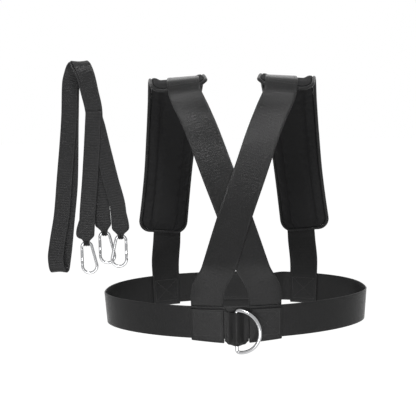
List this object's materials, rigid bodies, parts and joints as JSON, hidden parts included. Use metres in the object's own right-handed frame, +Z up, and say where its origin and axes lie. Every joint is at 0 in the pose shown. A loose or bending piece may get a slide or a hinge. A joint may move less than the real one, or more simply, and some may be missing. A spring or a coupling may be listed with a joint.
{
  "type": "resistance sprint trainer",
  "caption": "Padded webbing harness worn over both shoulders with a waist belt and a front D-ring, with its webbing lead that ends in snap hooks.",
  "frame": {"origin": "midway between the sides of the waist belt, at the height of its lower edge, where the wearer's waist holds the harness", "axes": "+Z up the wearer's back, -Y towards the side with the D-ring, +X to the right seen from that side"},
  "size_m": [0.5115, 0.301, 0.4387],
  "materials": {
    "webbing": "woven black webbing",
    "pad_fabric": "black padded cloth",
    "foam": "soft foam core",
    "tape": "black hook and loop tape",
    "chrome": "bright plated steel",
    "spring_steel": "plain spring steel"
  },
  "bodies": {
    "harness": {"belt_webbing": "webbing", "belt_loop_tape": "tape", "belt_hook_tape": "tape", "left_shoulder_strap": "webbing", "right_shoulder_strap": "webbing", "left_pad_outer_cover": "pad_fabric", "left_pad_foam": "foam", "left_pad_inner_cover": "pad_fabric", "left_pad_binding": "webbing", "right_pad_outer_cover": "pad_fabric", "right_pad_foam": "foam", "right_pad_inner_cover": "pad_fabric", "right_pad_binding": "webbing", "d_ring_keeper": "webbing"},
    "d_ring": {"d_ring": "chrome"},
    "lead": {"lead_long_strap": "webbing", "lead_fork_strap": "webbing"},
    "hook_1": {"hook_1_body": "chrome", "hook_1_pivot_pin": "chrome", "hook_1_latch_pin": "chrome"},
    "gate_1": {"hook_1_gate": "chrome", "hook_1_gate_plunger": "spring_steel", "hook_1_gate_spring": "spring_steel"},
    "hook_2": {"hook_2_body": "chrome", "hook_2_pivot_pin": "chrome", "hook_2_latch_pin": "chrome"},
    "gate_2": {"hook_2_gate": "chrome", "hook_2_gate_plunger": "spring_steel", "hook_2_gate_spring": "spring_steel"},
    "hook_3": {"hook_3_body": "chrome", "hook_3_pivot_pin": "chrome", "hook_3_latch_pin": "chrome"},
    "gate_3": {"hook_3_gate": "chrome", "hook_3_gate_plunger": "spring_steel", "hook_3_gate_spring": "spring_steel"}
  },
  "joints": [
    {"name": "d_ring_swing", "type": "hinge", "parent": "harness", "child": "d_ring", "pos_m": [0, -0.14305, 0.0131], "axis": [0, 0, 1], "range_deg": [-154, 10]},
    {"name": "lead_lift", "type": "slide", "parent": "harness", "child": "lead", "axis": [0, 0, 1], "range_m": [0, 0.15]},
    {"name": "hook_1_swing", "type": "hinge", "parent": "lead", "child": "hook_1", "pos_m": [-0.2345, -0.029, 0.1321], "axis": [1, 0, 0], "range_deg": [-75, 75]},
    {"name": "gate_1_open", "type": "hinge", "parent": "hook_1", "child": "gate_1", "pos_m": [-0.2425, -0.029, 0.1211], "axis": [0, -1, 0], "range_deg": [0, 28], "stiffness_Nm_per_rad": 0.05, "springref_deg": -9.74},
    {"name": "hook_2_swing", "type": "hinge", "parent": "lead", "child": "hook_2", "pos_m": [-0.207, -0.0188, 0.1462], "axis": [1, 0, 0], "range_deg": [-4, 75]},
    {"name": "gate_2_open", "type": "hinge", "parent": "hook_2", "child": "gate_2", "pos_m": [-0.215, -0.0188, 0.1352], "axis": [0, -1, 0], "range_deg": [0, 28], "stiffness_Nm_per_rad": 0.05, "springref_deg": -9.74},
    {"name": "hook_3_swing", "type": "hinge", "parent": "lead", "child": "hook_3", "pos_m": [-0.1805, -0.0269, 0.1416], "axis": [1, 0, 0], "range_deg": [-75, 4]},
    {"name": "gate_3_open", "type": "hinge", "parent": "hook_3", "child": "gate_3", "pos_m": [-0.1725, -0.0269, 0.1306], "axis": [0, 1, 0], "range_deg": [0, 28], "stiffness_Nm_per_rad": 0.05, "springref_deg": -9.74}
  ]
}
